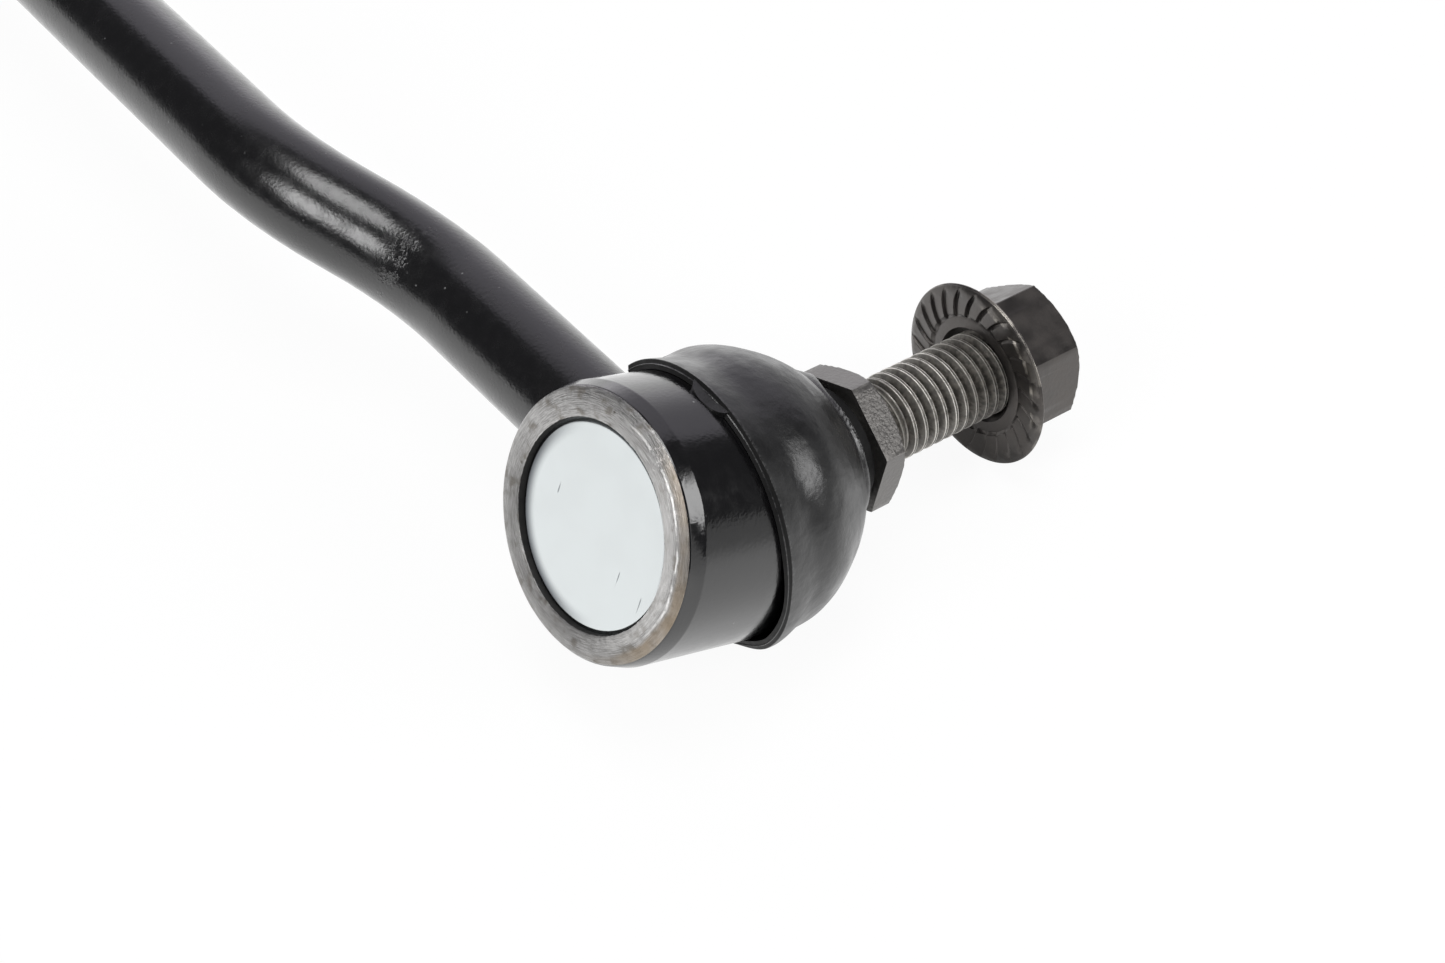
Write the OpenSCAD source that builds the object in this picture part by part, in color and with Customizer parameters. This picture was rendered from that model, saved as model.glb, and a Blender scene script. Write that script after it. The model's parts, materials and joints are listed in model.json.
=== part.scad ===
// Sway bar end link: a bent steel rod with a ball joint at each end.
// The part lies on a bench on the rims of its two boots and on the flanges of its two nuts.
// X runs along the rod, Y towards the studs, Z up. End A is at +X and end B is its mirror image.

/* [Rod] */
// Distance between the two ball centres
link_len = 280; // [220:5:340]
// Diameter of the rod
rod_d = 12.5; // [10:0.5:13]
// How far the rod's axis lies behind the ball centres
rod_back = 4.4; // [3:0.1:5]
// Distance from a ball centre to the start of the bend
bend_start = 40; // [34:1:50]
// Sideways step of the rod between its ends and its middle
bend_offset = 10.2; // [8.8:0.2:13]
// Angle of each of the two curves of the bend
bend_angle = 30; // [24:1:30]
// Radius of the curves at the middle of the rod
bend_radius = 32; // [26:1:32]
// Turn of the bend's plane about the rod
bend_roll = 11; // [0:1:20]

/* [Housing] */
// Outside diameter of the housing
housing_d = 30; // [28:0.1:32]
// Depth from the ball centre to the crimped end
housing_back = 17.3; // [17:0.1:19]
// Length of the housing past the ball centre
housing_front = 6; // [5.5:0.1:6.5]
// Diameter of the opening that the stud swings in
mouth_d = 18.4; // [18.2:0.1:19]
// Thickness of the inward lip at the opening
mouth_lip = 2; // [1.5:0.1:2]
// Wall of the housing round the seats
housing_wall = 3.2; // [2.6:0.1:3.6]
// How far the crimped rim reaches over the edge of the cover plate
crimp_reach = 1; // [0.6:0.1:1.6]
// Thickness of the crimped rim over the cover plate
crimp_lip = 0.8; // [0.4:0.1:1]

/* [Ball joint] */
// Diameter of the ball
ball_d = 18; // [17:0.1:18.4]
// Thickness of the cover plate
plate_thick = 2.5; // [2:0.1:3]
// Width of the ledge that the cover plate's edge sits on
plate_ledge = 0.5; // [0.3:0.05:0.7]
// Height of the conical preload washer between the plate and the seat
washer_high = 3; // [2:0.1:3.5]
// Swing of each stud about the rod's direction at rest
stud_tilt = 17.7; // [14:0.1:20]

/* [Stud] */
// Diameter of the stud's waist next to the ball
neck_d = 9.2; // [8.4:0.1:9.4]
// Diameter of the collar that the boot's bush turns on
land_d = 12; // [11.5:0.1:12.5]
// Distance from the ball centre to the near face of the hexagon
hex_from = 16.85; // [16.8:0.05:18]
// Size of the stud's hexagon across its flats
hex_af = 14.5; // [14:0.1:15]
// Thickness of the stud's hexagon
hex_thick = 3.2; // [2.5:0.1:5]
// Turn of the stud's hexagon about the stud
hex_turn = 22; // [0:1:59]
// Diameter of the stud's threaded shank
thread_d = 10; // [9.5:0.1:10.4]
// Distance from the ball centre to the tip of the stud
stud_tip = 48; // [47.5:0.5:54]

/* [Nut] */
// Distance from the ball centre to the bearing face of the nut
nut_from = 37.15; // [34:0.05:38]
// Height of the nut with its flange
nut_high = 9.3; // [9:0.1:10]
// Size of the nut across its flats
nut_af = 15; // [14:0.1:16]
// Diameter of the nut's flange
flange_d = 21.8; // [20.5:0.1:22.4]
// Thickness of the flange at its round rim
flange_rim = 1.3; // [1:0.1:1.6]
// Turn of the nut's hexagon about the stud
nut_turn = 36; // [0:1:59]

/* [Boot] */
// Gap between the housing and the inside of the boot
boot_gap = 0.35; // [0.3:0.05:0.7]
// Wall of the boot
boot_wall = 0.9; // [0.8:0.05:1.2]
// Distance of the rim's plane behind the ball centre, square to the stud
rim_back = 3.2; // [2.8:0.1:4]
// How far the thickened rim stands out from the boot's dome
rim_flare = 0.65; // [0.45:0.05:1.1]
// Thickness of the rim along the stud
rim_thick = 1; // [0.8:0.1:1.4]
// Gap between the top of the boot's collar and the stud's hexagon
collar_gap = 0.55; // [0.45:0.05:0.85]
// Radius of the tongue on the rim
tongue_r = 2.4; // [1.8:0.1:3]
// Place of the tongue round the rim, up from the outboard side
tongue_at = 86; // [70:1:100]

/* [Hidden] */
// Gap of a running fit, on the radius
run_gap = 0.04;
// Gap of a fixed fit, on the radius
seat_gap = 0.05;
// Room round the rod in the boot's notch, enough for the whole swing
notch_room = 3.4;
// Overshoot of cutting tools
over = 1;
// How far the rod's straight stretches run into its curves, and how much thinner they are
rod_let_in = 0.8;
rod_step = 0.02;

ball_r = ball_d / 2;
housing_r = housing_d / 2;
rod_r = rod_d / 2;
thread_r = thread_d / 2;
// Inside and outside radius of the boot's round dome about the ball, and of its rim
boot_in = housing_r + boot_gap;
boot_r = boot_in + boot_wall;
rim_r = boot_r + rim_flare;
nut_to = nut_from + nut_high;
hex_to = hex_from + hex_thick;
// Bore that holds the seats, pocket of the cover plate, and the pieces in them
bore_r = housing_r - housing_wall;
seat_r = bore_r - seat_gap;
plate_pocket_r = bore_r + plate_ledge + seat_gap;
plate_r = plate_pocket_r - seat_gap;
window_r = plate_r - crimp_reach;
seat_front = housing_front - mouth_lip;
plate_back = crimp_lip - housing_back;
plate_front = plate_back + plate_thick;
seat_back = plate_front + washer_high;
// Outside edge of the crimped rim, the taper that leads to it, and the rounding of its edges
crimp_inset = 0.46;
crimp_r = housing_r - crimp_inset;
crimp_taper = 1.77;
crimp_edge = 0.3;
window_edge = 0.8;
// End of the housing's full diameter, and the radius that its nose tapers to inside the boot
shoulder = 1.2;
nose_inset = 2;
nose_r = housing_r - nose_inset;
// Sizes of the hidden bearing, and the room round its washer
grease_hole_r = 2.5;
washer_in = 5;
washer_room = 0.4;
washer_out = seat_r - washer_room;
washer_thick = 1;
// Length along the stud at which the waist has opened to the collar
land_from = 12.2;
waist_to = 10.4;
tip_chamfer = 1;
// Groove in the thread that ends the free grip, just before the nut
groove_wide = 0.7;
groove_deep = 0.6;
groove_gap = 0.15;
groove_r = thread_r - groove_deep;
groove_to = nut_from - groove_gap;
grip_to = groove_to - groove_wide;
// Chamfers of the stud's hexagon and of the nut, along the stud, and the flat that each leaves
hex_chamfer = 0.9;
hex_flat_inset = 0.3;
hex_flat_r = hex_af / 2 - hex_flat_inset;
nut_chamfer = 1.2;
nut_flat_inset = 0.4;
nut_flat_r = nut_af / 2 - nut_flat_inset;
nut_countersink = 0.8;
// Height of the cone from the flange's rim to the flats of the nut
flange_cone = 2.4;
// Sleeve in the boot's neck
bush_wall = 0.85;
bush_in = land_d / 2 + run_gap;
bush_r = bush_in + bush_wall;
bush_from = 13.2;
bush_hole_r = bush_r + seat_gap;
// Collar of the boot: its foot, a little proud of the dome, its hollow flank and its rounded top
collar_from = 11.4;
collar_step = 0.05;
collar_foot_r = sqrt(pow(boot_r, 2) - pow(collar_from, 2)) + collar_step;
collar_mid = 14.1;
collar_mid_r = 9.4;
collar_to = hex_from - collar_gap;
collar_top_r = 8.2;
collar_edge = 0.6;
// Middle of the round edges that touch the bench
rim_round = rim_thick / 2;
rim_mid = rim_round - rim_back;
flange_round = flange_rim / 2;
flange_mid = nut_from + flange_round;

// Dip of the studs and of the housings as the part lies on the bench
lie_drop = rim_r - rim_round - flange_d / 2 + flange_round;
lie_run = flange_mid - rim_mid;
stud_dip = acos((flange_round - rim_round) / norm([lie_drop, lie_run])) - atan2(lie_run, lie_drop);
lie = stud_tilt + stud_dip;
ball_high = (rim_r - rim_round) * cos(stud_dip) + rim_mid * sin(stud_dip) + rim_round;
reach_front = stud_tip * cos(stud_dip) + (thread_r - tip_chamfer) * sin(stud_dip);
reach_back = housing_back * cos(lie) + crimp_r * sin(lie);
ball_y = (reach_back - reach_front) / 2;

// Straight stretch between the two curves of a bend, and where the bend ends
bend_straight = (bend_offset - 2 * bend_radius * (1 - cos(bend_angle))) / sin(bend_angle);
bend_len = 2 * bend_radius * sin(bend_angle) + bend_straight * cos(bend_angle);
bend_end = bend_start + bend_len;

$fn = 96;

// Turns a shape that stands on Z so that it lies along Y
module along_y() {
    rotate([-90, 0, 0])
        children();
}

// Puts a shape drawn about the ball centre, with the housing along Y, at end A
module end_a() {
    translate([link_len / 2, ball_y, ball_high])
        rotate([-lie, 0, 0])
            children();
}

module end_b() {
    mirror([1, 0, 0])
        end_a()
            children();
}

// Swings a shape drawn along the housing's axis to the stud's place at rest
module on_stud() {
    rotate([stud_tilt, 0, 0])
        along_y()
            children();
}

// A hexagonal bar from one height to another, given across its flats
module hex_bar(af, from, to, turn) {
    translate([0, 0, from])
        rotate([0, 0, -turn])
            cylinder(r = af / sqrt(3), h = to - from, $fn = 6);
}

// A straight stretch of the rod towards the middle of the link, let into the curve at each end
module rod_straight(len, let_in) {
    rotate([0, -90, 0])
        translate([0, 0, -let_in])
            cylinder(r = rod_r - rod_step, h = len + let_in + rod_let_in);
}

// A curve of the rod, which starts on the X axis
module rod_curve() {
    rotate_extrude(angle = bend_angle)
        translate([bend_radius, 0])
            circle(r = rod_r);
}

// Turns the bend's plane about the end of the rod
module bend_plane() {
    translate([0, -rod_back, 0])
        rotate([-bend_roll, 0, 0])
            children();
}

// The rod from the housing of an end to the far side of its bend
module rod_end() {
    bend_x = bend_start + bend_radius * sin(bend_angle);
    bend_y = bend_radius * (1 - cos(bend_angle));
    bend_plane() {
        rod_straight(bend_start, 0);
        translate([-bend_start, -bend_radius, 0])
            rotate([0, 0, 90])
                rod_curve();
        translate([-bend_x, -bend_y, 0])
            rotate([0, 0, bend_angle])
                rod_straight(bend_straight, rod_let_in);
        translate([-bend_end, bend_radius - bend_offset, 0])
            rotate([0, 0, -90])
                rod_curve();
    }
}

// The straight middle of the rod, drawn from end A
module rod_middle() {
    bend_plane()
        translate([-bend_end, -bend_offset, 0])
            rod_straight(link_len - 2 * bend_end, rod_let_in);
}

// The space that a housing takes out of the rod's end
module housing_space() {
    along_y()
        cylinder(r = housing_r, h = 4 * housing_r, center = true);
}

module link_rod() {
    color("#17181a")
        difference() {
            union() {
                end_a() rod_end();
                end_a() rod_middle();
                end_b() rod_end();
            }
            end_a() housing_space();
            end_b() housing_space();
        }
}

module housing() {
    color("#1b1c1f")
        along_y()
            rotate_extrude()
                polygon([
                    [crimp_r - crimp_edge, -housing_back],
                    [crimp_r, crimp_edge - housing_back],
                    [housing_r, crimp_taper - housing_back],
                    [housing_r, shoulder],
                    [nose_r, housing_front],
                    [mouth_d / 2, housing_front],
                    [mouth_d / 2, seat_front],
                    [bore_r, seat_front],
                    [bore_r, plate_front],
                    [plate_pocket_r, plate_front],
                    [plate_pocket_r, plate_back],
                    [window_r, plate_back],
                    [window_r, crimp_edge - housing_back],
                    [window_r + window_edge, -housing_back],
                ]);
}

// The front half of the plastic bearing, which keeps the ball in the housing
module front_seat() {
    color("#d9d6c8")
        difference() {
            along_y()
                cylinder(r = seat_r, h = seat_front);
            sphere(r = ball_r + run_gap);
        }
}

// The rear half of the plastic bearing, with a grease hole behind the ball
module rear_seat() {
    color("#d9d6c8")
        difference() {
            along_y()
                translate([0, 0, seat_back])
                    cylinder(r = seat_r, h = -seat_back);
            sphere(r = ball_r + run_gap);
            along_y()
                translate([0, 0, seat_back - over])
                    cylinder(r = grease_hole_r, h = -seat_back);
        }
}

// The conical spring washer that presses the bearing on the ball
module preload_washer() {
    color("#8d8f92")
        along_y()
            rotate_extrude()
                polygon([
                    [washer_in, seat_back],
                    [washer_in, seat_back - washer_thick],
                    [washer_out, plate_front],
                    [washer_out, plate_front + washer_thick],
                ]);
}

module cover_plate() {
    color("#dfe3e6")
        along_y()
            translate([0, 0, plate_back])
                cylinder(r = plate_r, h = plate_thick);
}

// The forged ball stud: ball, waist, collar, hexagon and shank in one piece
module ball_stud() {
    hex_corner = hex_af / sqrt(3);
    color("#2a2a2b")
        on_stud() {
            sphere(r = ball_r);
            rotate_extrude()
                polygon([
                    [0, 0],
                    [neck_d / 2, 0],
                    [neck_d / 2, waist_to],
                    [land_d / 2, land_from],
                    [land_d / 2, hex_from],
                    [0, hex_from],
                ]);
            intersection() {
                hex_bar(hex_af, hex_from, hex_to, hex_turn);
                rotate_extrude()
                    polygon([
                        [0, hex_from - over],
                        [hex_corner + over, hex_from - over],
                        [hex_corner + over, hex_to - hex_chamfer],
                        [hex_flat_r, hex_to],
                        [0, hex_to],
                    ]);
            }
            rotate_extrude()
                polygon([
                    [0, hex_to],
                    [thread_r, hex_to],
                    [thread_r, grip_to],
                    [groove_r, grip_to],
                    [groove_r, groove_to],
                    [thread_r, groove_to],
                    [thread_r, stud_tip - tip_chamfer],
                    [thread_r - tip_chamfer, stud_tip],
                    [0, stud_tip],
                ]);
        }
}

// The sleeve in the boot's neck, which the stud turns in
module boot_bush() {
    color("#4b4d50")
        on_stud()
            translate([0, 0, bush_from])
                difference() {
                    cylinder(r = bush_r, h = collar_to - bush_from);
                    translate([0, 0, -over])
                        cylinder(r = bush_in, h = collar_to - bush_from + 2 * over);
                }
}

// A round cap about the ball centre with a straight skirt along the housing
module bell(radius, skirt) {
    along_y()
        rotate_extrude() {
            intersection() {
                circle(r = radius);
                square(radius + over);
            }
            translate([0, -skirt])
                square([radius, skirt]);
        }
}

// The rubber bell that swings with the stud and hangs free over the housing
module boot() {
    skirt = 3 * rim_back + 2 * tongue_r;
    color("#111213")
        difference() {
            union() {
                intersection() {
                    bell(boot_r, skirt);
                    on_stud()
                        translate([0, 0, -rim_back])
                            cylinder(r = 2 * boot_r, h = 2 * boot_r);
                }
                on_stud()
                    rotate_extrude() {
                        translate([boot_in - over, -rim_back])
                            square([rim_r - rim_round - boot_in + over, rim_thick]);
                        translate([rim_r - rim_round, rim_mid])
                            circle(r = rim_round);
                    }
                on_stud()
                    rotate_extrude()
                        polygon([
                            [bush_hole_r - over, collar_from],
                            [collar_foot_r, collar_from],
                            [collar_mid_r, collar_mid],
                            [collar_top_r, collar_to - collar_edge],
                            [collar_top_r - collar_edge, collar_to],
                            [bush_hole_r - over, collar_to],
                        ]);
                intersection() {
                    bell(boot_r, skirt);
                    rotate([stud_tilt, 90 - tongue_at, 0])
                        translate([0, -rim_back, 0])
                            cylinder(r = tongue_r, h = 2 * boot_r);
                }
            }
            bell(boot_in, 2 * skirt);
            on_stud()
                cylinder(r = bush_hole_r, h = 2 * boot_r);
            translate([0, -rod_back, 0])
                rotate([0, -90, 0])
                    cylinder(r = rod_r + notch_room, h = 2 * boot_r);
            translate([-2 * boot_r, -rod_back - 2 * boot_r, -rod_r - notch_room])
                cube([2 * boot_r, 2 * boot_r, 2 * (rod_r + notch_room)]);
        }
}

// The flange nut on the stud's shank
module flange_nut() {
    nut_corner = nut_af / sqrt(3);
    flange_r = flange_d / 2;
    countersink_r = thread_r + nut_countersink;
    color("#232323")
        on_stud()
            difference() {
                union() {
                    rotate_extrude() {
                        translate([0, nut_from])
                            square([flange_r - flange_round, flange_rim]);
                        translate([flange_r - flange_round, flange_mid])
                            circle(r = flange_round);
                        polygon([
                            [0, nut_from + flange_rim],
                            [flange_r - flange_round, nut_from + flange_rim],
                            [nut_af / 2, nut_from + flange_cone],
                            [0, nut_from + flange_cone],
                        ]);
                    }
                    intersection() {
                        hex_bar(nut_af, nut_from + flange_round, nut_to, nut_turn);
                        rotate_extrude()
                            polygon([
                                [0, nut_from],
                                [nut_corner + over, nut_from],
                                [nut_corner + over, nut_to - nut_chamfer],
                                [nut_flat_r, nut_to],
                                [0, nut_to],
                            ]);
                    }
                }
                translate([0, 0, nut_from - over])
                    cylinder(r = thread_r + run_gap, h = nut_high + 2 * over);
                translate([0, 0, nut_from - over])
                    cylinder(r1 = countersink_r + over, r2 = thread_r, h = nut_countersink + over);
            }
}

link_rod();
end_a() housing();  // housing_a
end_a() front_seat();  // front_seat_a
end_a() rear_seat();  // rear_seat_a
end_a() preload_washer();  // preload_washer_a
end_a() cover_plate();  // cover_plate_a
end_a() ball_stud();  // ball_stud_a
end_a() boot_bush();  // boot_bush_a
end_a() boot();  // boot_a
end_a() flange_nut();  // flange_nut_a
end_b() housing();  // housing_b
end_b() front_seat();  // front_seat_b
end_b() rear_seat();  // rear_seat_b
end_b() preload_washer();  // preload_washer_b
end_b() cover_plate();  // cover_plate_b
end_b() ball_stud();  // ball_stud_b
end_b() boot_bush();  // boot_bush_b
end_b() boot();  // boot_b
end_b() flange_nut();  // flange_nut_b
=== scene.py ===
"""The looks of a sway bar end link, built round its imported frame.

Each end is drawn about its own ball centre, in millimetres, along two axes: the housing's and the stud's.
Angles are counted from the outboard side, upwards, so end B comes out as the mirror image of end A.
"""

import json
from math import atan2, ceil, cos, hypot, pi, radians, sin, sqrt, tau

import bmesh
import bpy
from mathutils import Euler, Matrix, Vector, noise
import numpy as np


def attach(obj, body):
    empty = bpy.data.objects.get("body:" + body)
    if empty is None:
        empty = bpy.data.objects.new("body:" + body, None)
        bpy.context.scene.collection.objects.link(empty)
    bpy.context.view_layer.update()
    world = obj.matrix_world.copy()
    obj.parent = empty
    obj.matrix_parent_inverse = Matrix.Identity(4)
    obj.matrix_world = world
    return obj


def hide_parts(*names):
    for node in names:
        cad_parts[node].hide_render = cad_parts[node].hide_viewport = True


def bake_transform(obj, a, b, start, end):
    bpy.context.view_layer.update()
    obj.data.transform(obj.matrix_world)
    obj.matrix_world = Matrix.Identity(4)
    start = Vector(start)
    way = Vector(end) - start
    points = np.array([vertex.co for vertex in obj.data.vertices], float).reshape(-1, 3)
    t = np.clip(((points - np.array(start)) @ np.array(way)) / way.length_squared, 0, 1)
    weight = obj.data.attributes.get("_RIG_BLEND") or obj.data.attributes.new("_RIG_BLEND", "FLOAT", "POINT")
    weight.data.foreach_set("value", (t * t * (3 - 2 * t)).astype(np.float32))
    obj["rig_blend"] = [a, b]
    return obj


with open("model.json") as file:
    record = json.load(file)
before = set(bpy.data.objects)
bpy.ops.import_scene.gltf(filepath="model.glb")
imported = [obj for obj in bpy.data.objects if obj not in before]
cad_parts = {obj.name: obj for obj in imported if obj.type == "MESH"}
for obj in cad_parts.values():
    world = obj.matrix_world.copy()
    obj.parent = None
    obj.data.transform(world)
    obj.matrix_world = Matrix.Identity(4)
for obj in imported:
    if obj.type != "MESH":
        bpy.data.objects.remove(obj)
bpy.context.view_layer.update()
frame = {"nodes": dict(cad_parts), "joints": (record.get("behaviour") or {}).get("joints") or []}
joints = {joint["name"]: joint for joint in frame["joints"]}

MM = 0.001
X_AXIS = Vector((1, 0, 0))

# Rod
ROD_R = 6.25
ROD_BACK = 4.4
ROD_FROM = 13.0
BEND_START = 40.0
BEND_OFFSET = 10.2
BEND_ANGLE = radians(30)
BEND_RADIUS = 32.0
BEND_ROLL = radians(11)
ROD_COLUMNS = 96
ROD_STEP = 0.6
ROD_MIDDLE_STEP = 2.4
# The coat is wrinkled inside the first bend, on one side, where the cosine passes through this span
WRINKLE_AT = 48.0
WRINKLE_HALF = 2.4
WRINKLE_SIDE = radians(-12)
WRINKLE_SPAN = (0.5, 0.95)

# Housing and cover plate, along the housing's axis from the ball centre
STUD_TILT = radians(17.7)
HOUSING_R = 15.0
HOUSING_BACK = -17.3
HOUSING_FRONT = 6.0
HOUSING_COLUMNS = 360
BARREL_MIDDLE = -6.0
SHOULDER = 1.2
NOSE_R = 13.0
MOUTH_R = 9.2
MOUTH_LIP = 2.0
BORE_R = 11.8
WINDOW_R = 11.3
POCKET_R = 12.35
CRIMP_R = 14.54
CRIMP_RISE = 0.5
CRIMP_TAPER = 1.77
# The crimp's face steps out from the window, its round edge in from the outside, with drops from the top
CRIMP_WALL = 0.25
CRIMP_FACE = ((0.05, 0.1), (0.2, 0.02), (0.8, 0.01), (1.5, 0.0), (1.85, 0.03), (2.15, 0.1))
CRIMP_ROUND = ((0.6, 0.21), (0.28, 0.33), (0.08, 0.47))
CRIMP_FOOT = 0.62
# Rings this near to the ends of the taper keep them crisp
TAPER_START = 0.1
TAPER_END = 0.12
# The crimp isn't true: its outside and its window are off centre, its inner edge ragged, its face uneven
CRIMP_OFF = 0.1
WINDOW_OFF = 0.12
WINDOW_OFF_AT = radians(15)
WOBBLE_ROUND = 9
RAGGED = 0.07
RAGGED_SCALE = 4
UNEVEN = 0.04
UNEVEN_SCALE = 0.4
PLATE_BACK = -17.0
PLATE_THICK = 2.5
PLATE_R = 12.3
PLATE_EDGE = 0.4
PLATE_CROWN = 0.3
PLATE_FLAT_R = 10.8
PLATE_CLEAR = 0.1
PLATE_RINGS = (0, 3, 6, 8.5, 10, 10.6, 10.75, 10.88, 10.98, 11.08, 11.2)
PLATE_COLUMNS = 128
# Radius of the crimp's ridge, the side its painted highlight shows on, the side darkened by painted shade,
# and the span and side of the plate's painted shade
RIDGE_R = 13.1
HIGHLIGHT_SIDE = 35
CRIMP_SHADE_SIDE = 250
PLATE_SHADE_R = (9.2, 10.9)
PLATE_SHADE_SIDE = 210

# Stud, along its own axis from the ball centre
BALL_R = 9.0
BALL_ROWS = 40
NECK_R = 4.6
WAIST_TO = 10.4
LAND_FROM = 12.2
LAND_R = 6.0
STUD_COLUMNS = 180
HEX_FROM = 16.85
HEX_THICK = 3.28
HEX_APOTHEM = 7.4
HEX_TURN = radians(22)
# A cone trims a hexagon: its radius at the end face, and its length for each millimetre out
HEX_TRIM = (7.3, 0.6)
# Rings of the hexagon, down from its end face and across it
HEX_ROWS = (HEX_THICK, HEX_THICK - 0.1, 0.74, 0.55, 0.37, 0.18, 0.0)
HEX_FACE = (5.4, 4.2)
# One flat is stippled: its middle and its soft half-width in degrees
STIPPLED_AT = 52
STIPPLED_HALF = (30, 24)
THREAD_R = 5.0
THREAD_PITCH = 1.5
THREAD_DEPTH = 0.92
THREAD_CREST = 19.65
THREAD_SUNK = 0.1
THREAD_COLUMNS = 96
RUNOUT = 4.4
RUNOUT_LOW = 0.2
RUNOUT_DEPTH = 0.4
STUD_TIP = 48.0
TIP_CHAMFER = 1.0
# Painted shade near the nut: the crests' pale colour fades between these places, down to this share
NUT_SHADE_FROM = (29.0, 34.5)
NUT_SHADE = 0.3

# Nut
NUT_FROM = 37.15
NUT_HIGH = 9.3
NUT_APOTHEM = 7.5
NUT_TURN = radians(36)
NUT_TRIM = (7.3, 0.62)
NUT_ROWS = (0.85, 0.64, 0.43, 0.21, 0.0)
NUT_CLEAR = 0.04
# Chamfers of the bore at the nut's end and in its face: how far out and how deep
NUT_CHAMFER = (0.6, 0.5)
NUT_SINK = (0.7, 0.8)
# The plain ring inside the teeth stands up from their roots, and ends short of them
NUT_RING_HIGH = 0.12
NUT_RING_GAP = 0.3
FLANGE_R = 10.9
FLANGE_FRONT = 36.95
FLANGE_ROLL = 0.16
FLANGE_CONE = 2.6
CONE_ROWS = 6
ROLL_SWEEP = (-70, 80)
ROLL_ROWS = 8
# The bearing face falls away to its edge from this radius, by this much
CROWN_FROM = 9.5
CROWN_FALL = 0.4
TEETH = 25
TOOTH_HIGH = 0.36
TOOTH_IN = 7.0
TOOTH_TURN = radians(39)
TOOTH_SWEEP = radians(-12)
TOOTH_CURVE = 1.3
TOOTH_ROWS = 18
# A tooth: shares of its width, with its height there
TOOTH = ((0, 0), (0.04, 0.1), (0.09, 0.9), (0.13, 1), (0.35, 0.85), (0.6, 0.65), (0.84, 0.45), (0.93, 0.1))
# A tooth rises within this share of its length, its low parts a little later, and fades to the edge
TOOTH_RISE = 0.1
TOOTH_DELAY = 0.06
TOOTH_EDGE_HIGH = 0.2
TOOTH_FADE = (9.2, 10.8)
# Wear: the arc rubbed bright, the band where the face starts to fall, the edge past it and the roll
RUBBED_ARC = ((0, 25), (105, 80))
BAND_WEAR_AT = 0.1
BAND_WEAR_HALF = (0.32, 0.1)
EDGE_WEAR = 0.18
EDGE_WEAR_IN = 0.2
ROLL_WEAR = (0.15, 0.4)

# Boot, along the stud's axis. Its back is the side away from the camera, squeezed towards the hexagon.
# An arc round it, in degrees, has two soft ends
BOOT_R = 16.15
BOOT_WALL = 0.9
BOOT_SHIFT = 0.4
BOOT_SHIFT_FROM = (-2, 5)
BOOT_BACK_AT = radians(141)
BOOT_COLUMNS = 240
RIM_EDGE = -2.88
RIM_LIP = -3.35
RIM_STEP = 0.26
RIM_LONG = 4.2
RIM_IN_R = 15.06
RIM_IN_TO = 4.5
RIM_WEAR = 0.12
# Across the rim's end face: share of the way in, height of the fine ridge there, and its pale colour, wear
# with a painted highlight
RIM_FACE = ((0.06, 0.0, 0.0), (0.42, 0.0, 0.0), (0.48, 0.09, 0.22), (0.54, 0.0, 0.0), (1, 0.0, 0.0))
# The skirt begins to bend this far below its rim
RIM_HELD = 7
# The rim's lower side stands off the housing, and tucks in again beneath it
RIM_FLARE = 0.45
RIM_FLARE_FROM = (8, -25)
RIM_TUCK = 0.95
RIM_TUCK_ARC = ((-32, -58), (-170, -130))
RIM_GAP = 0.65
RIM_GAP_ARC = ((25, -8), (-48, -27))
GROOVE_DEPTH = 0.3
GROOVE_TO = 0.0
BULGE_AT = 4.1
BULGE_LONG = 0.6
BULGE_HIGH = 0.22
# The notch that clears the rod, by the cosine of its half-width
NOTCH_AT = 0.77
NOTCH_SOFT = 0.02
NOTCH_TO = 2.7
SKIRT_ROWS = 30
SKIRT_INSIDE = (0.9, 0.7, 0.4, 0)
SEAM_AT = 9.0
# Radius and place of the lip, in front and at the back, and half the width of its back
LIP_NEAR = (8.75, 14.0)
LIP_BACK = (8.5, 16.1)
LIP_BACK_HALF = (58, 6)
LIP_SLOPE = 0.65
LIP_CREASE = 0.3
# The groove under the lip: its arc, and its ends as shares of the way up the crown
LIP_GROOVE = 0.45
LIP_GROOVE_ARC = ((-15, 20), (125, 95))
LIP_GROOVE_UP = ((0.6, 0.72), (0.98, 0.86))
# Pale flecks on the lip, scuffing with painted glints: least and most, their arc, and where they start on
# the way up
LIP_WEAR_AND_GLINT = (0.1, 0.6)
LIP_WEAR_AND_GLINT_ARC = ((28, 42), (84, 66))
LIP_WEAR_AND_GLINT_UP = (0.86, 0.97)
UPPER_ROWS = (0, 0.15, 0.3, 0.43, 0.52, 0.58, 0.62, 0.66, 0.7, 0.74, 0.78, 0.82, 0.86, 0.9, 0.94, 0.97, 1)
# Steps in from the lip and along the stud, round the edge of the hole and down into it, with their wear
LIP_STEPS = ((0.1, 0.2, 0.5), (0.35, 0.36, 0.0), (0.75, 0.36, 0.0), (1.1, 0.1, 0.0))
NECK_IN = 6.95
NECK_ROWS = ((NECK_IN, 13.7), (NECK_IN, 13.2), (8.2, 12.6))
UPPER_INSIDE = (11.4, 10.2, SEAM_AT)
TONGUE_AT = radians(86)
TONGUE_HALF = radians(10.5)
TONGUE_FROM = -7.9
TONGUE_LONG = 1.4
TONGUE_HIGH = 1.0
TONGUE_EDGE = 0.08
TONGUE_SUNK = 0.1
TONGUE_STEPS = 24


class Axis:
    """A line through a ball centre, with a place for each distance along it, radius and angle."""

    def __init__(self, origin, along, side):
        self.origin = origin
        self.along = along
        self.out = X_AXIS * side
        self.up = X_AXIS.cross(along)

    def at(self, radius, along, angle):
        across = self.out * cos(angle) + self.up * sin(angle)
        return self.origin + (self.along * along + across * radius) * MM


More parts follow.
